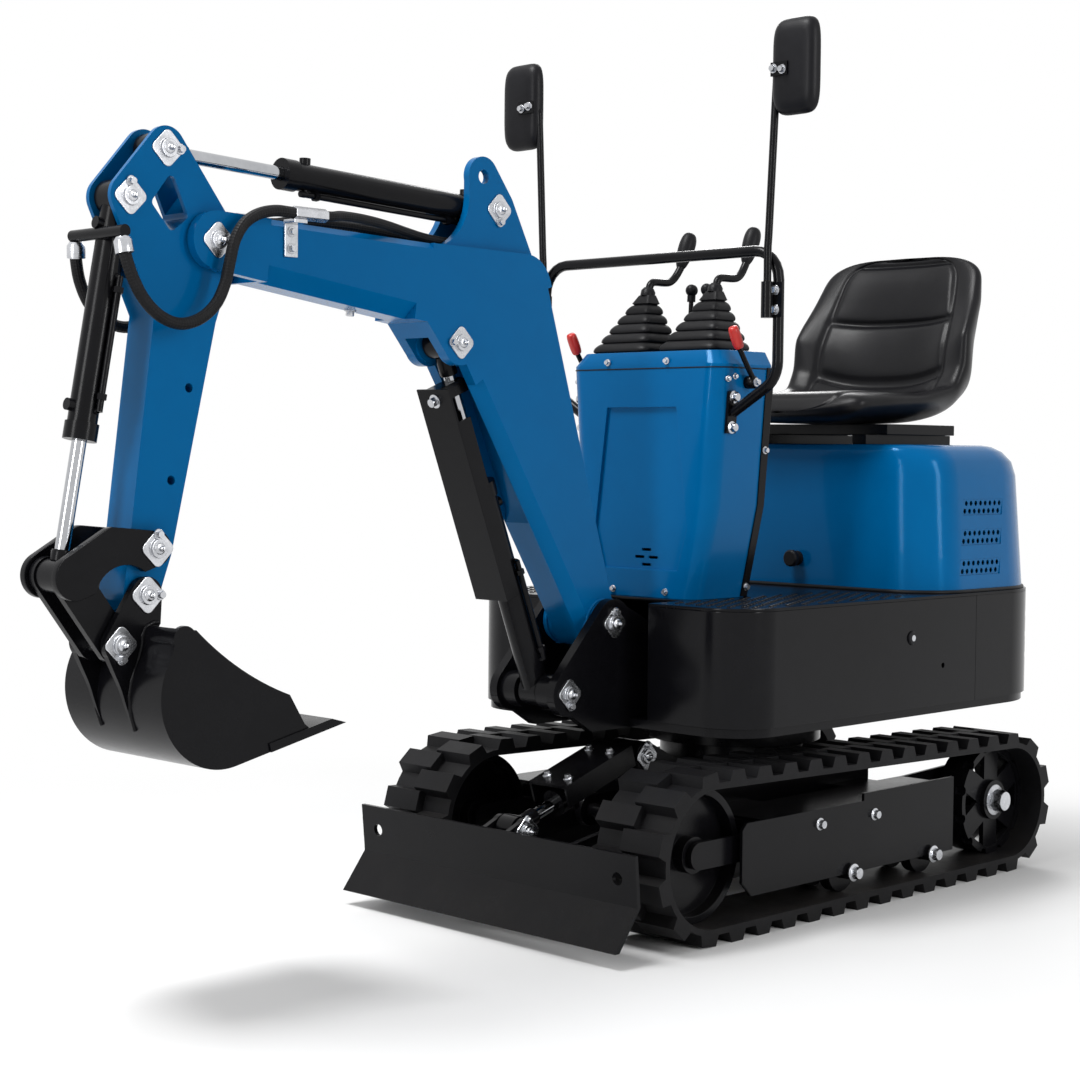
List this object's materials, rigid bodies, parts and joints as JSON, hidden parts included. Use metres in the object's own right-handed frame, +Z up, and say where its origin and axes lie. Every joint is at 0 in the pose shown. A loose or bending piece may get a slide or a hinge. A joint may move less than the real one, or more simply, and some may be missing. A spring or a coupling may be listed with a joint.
{
  "type": "mini excavator",
  "caption": "Micro excavator on rubber tracks with an open operator's station, jointed bucket arm, hydraulic cylinders, slewing upper body and dozer blade.",
  "frame": {"origin": "on the ground, in the middle of the machine's length and width as it stands at rest", "axes": "+X forward to the bucket, +Y to the machine's left, +Z up"},
  "size_m": [2.215, 0.77, 1.604],
  "materials": {
    "blue_paint": "gloss",
    "black_paint": "satin",
    "track_rubber": "matte",
    "zinc_steel": "satin",
    "rod_chrome": "polished",
    "engine_iron": "matte",
    "seat_vinyl": "satin",
    "black_rubber": "matte",
    "lever_plastic": "gloss",
    "black_plastic": "matte"
  },
  "bodies": {
    "undercarriage": {"lower_frame": "black_paint", "slew_ring": "black_paint", "track_frames": "black_paint", "track_left": "track_rubber", "track_right": "track_rubber", "sprockets": "black_paint", "idlers": "black_paint", "rollers": "black_paint", "frame_pins": "zinc_steel"},
    "blade": {"dozer_blade": "black_paint", "blade_pins": "zinc_steel"},
    "blade_barrel": {"blade_barrel": "black_paint"},
    "blade_rod": {"blade_rod": "rod_chrome"},
    "upper": {"platform": "black_paint", "skirt_left": "black_paint", "skirt_right": "black_paint", "skirt_rear": "black_paint", "deck": "black_paint", "hood": "blue_paint", "hood_grilles": "blue_paint", "engine_block": "engine_iron", "seat_rails": "black_paint", "seat": "seat_vinyl", "console": "blue_paint", "console_trim": "black_paint", "lever_boots": "black_rubber", "joysticks": "black_rubber", "hand_levers": "lever_plastic", "handrail": "black_paint", "mirrors": "black_plastic", "upper_pins": "zinc_steel"},
    "boom": {"boom": "blue_paint", "boom_pins": "zinc_steel", "stick_hoses": "black_rubber", "boom_hoses": "black_rubber"},
    "boom_barrel": {"boom_barrel": "black_paint"},
    "boom_rod": {"boom_rod": "rod_chrome", "rod_guard": "black_paint"},
    "stick": {"stick": "blue_paint", "stick_pins": "zinc_steel"},
    "stick_barrel": {"stick_barrel": "black_paint"},
    "stick_rod": {"stick_rod": "rod_chrome"},
    "bucket_barrel": {"bucket_barrel": "black_paint"},
    "bucket_rod": {"bucket_rod": "rod_chrome"},
    "rockers": {"rockers": "black_paint"},
    "bucket_link": {"bucket_link": "black_paint"},
    "bucket": {"bucket": "black_paint", "bucket_pins": "zinc_steel"}
  },
  "joints": [
    {"name": "slew", "type": "hinge", "parent": "undercarriage", "child": "upper", "pos_m": [-0.4675, 0, 0.3], "axis": [0, 0, 1], "continuous": true},
    {"name": "boom_lift", "type": "hinge", "parent": "upper", "child": "boom", "pos_m": [-0.0275, 0, 0.535], "axis": [0, -1, 0], "range_deg": [-60, 15]},
    {"name": "stick_crowd", "type": "hinge", "parent": "boom", "child": "stick", "pos_m": [0.8285, 0, 1.155], "axis": [0, 1, 0], "range_deg": [-75, 30], "deforming": ["stick_hoses"]},
    {"name": "bucket_curl", "type": "hinge", "parent": "stick", "child": "bucket", "pos_m": [0.9525, 0, 0.627], "axis": [0, -1, 0], "range_deg": [-28, 100]},
    {"name": "blade_lift", "type": "hinge", "parent": "undercarriage", "child": "blade", "pos_m": [-0.1375, 0, 0.165], "axis": [0, -1, 0], "range_deg": [-20, 22]},
    {"name": "boom_cylinder_swing", "type": "hinge", "parent": "upper", "child": "boom_barrel", "pos_m": [0.0875, 0, 0.416], "axis": [0, -1, 0], "range_deg": [-60.5, 15.5]},
    {"name": "boom_cylinder_stroke", "type": "slide", "parent": "boom_barrel", "child": "boom_rod", "axis": [0.3677, 0, 0.9299], "range_m": [-0.164, 0.0425]},
    {"name": "stick_cylinder_swing", "type": "hinge", "parent": "boom", "child": "stick_barrel", "pos_m": [0.2295, 0, 1.253], "axis": [0, 1, 0], "range_deg": [-3.88, 1.85]},
    {"name": "stick_cylinder_stroke", "type": "slide", "parent": "stick_barrel", "child": "stick_rod", "axis": [0.9989, 0, 0.0471], "range_m": [-0.1782, 0.0725]},
    {"name": "bucket_cylinder_swing", "type": "hinge", "parent": "stick", "child": "bucket_barrel", "pos_m": [0.9725, 0, 1.209], "axis": [0, -1, 0], "range_deg": [-1.7, 0.84]},
    {"name": "bucket_cylinder_stroke", "type": "slide", "parent": "bucket_barrel", "child": "bucket_rod", "axis": [0.18, 0, -0.9837], "range_m": [-0.157, 0.0454]},
    {"name": "rocker_swing", "type": "hinge", "parent": "stick", "child": "rockers", "pos_m": [0.9355, 0, 0.695], "axis": [0, -1, 0], "range_deg": [-19.54, 68.5]},
    {"name": "link_swing", "type": "hinge", "parent": "bucket", "child": "bucket_link", "pos_m": [0.9985, 0, 0.556], "axis": [0, -1, 0], "range_deg": [-63.5, 18.14]},
    {"name": "blade_cylinder_swing", "type": "hinge", "parent": "undercarriage", "child": "blade_barrel", "pos_m": [-0.1675, 0, 0.277], "axis": [0, -1, 0], "range_deg": [-16.8, 18.43]},
    {"name": "blade_cylinder_stroke", "type": "slide", "parent": "blade_barrel", "child": "blade_rod", "axis": [0.9496, 0, -0.3135], "range_m": [-0.0394, 0.036]}
  ],
  "couplings": [
    {"joint": "boom_cylinder_swing", "follows": "boom_lift", "ratio": 1},
    {"joint": "boom_cylinder_stroke", "follows": "boom_lift", "m_per_rad": 0.1547},
    {"joint": "stick_cylinder_swing", "follows": "stick_crowd", "ratio": 0.045},
    {"joint": "stick_cylinder_stroke", "follows": "stick_crowd", "m_per_rad": 0.1346},
    {"joint": "bucket_cylinder_swing", "follows": "bucket_curl", "ratio": -0.012},
    {"joint": "bucket_cylinder_stroke", "follows": "bucket_curl", "m_per_rad": -0.0888},
    {"joint": "rocker_swing", "follows": "bucket_curl", "ratio": 0.68},
    {"joint": "link_swing", "follows": "bucket_curl", "ratio": -0.63},
    {"joint": "blade_cylinder_swing", "follows": "blade_lift", "ratio": 0.815},
    {"joint": "blade_cylinder_stroke", "follows": "blade_lift", "m_per_rad": -0.0974}
  ]
}
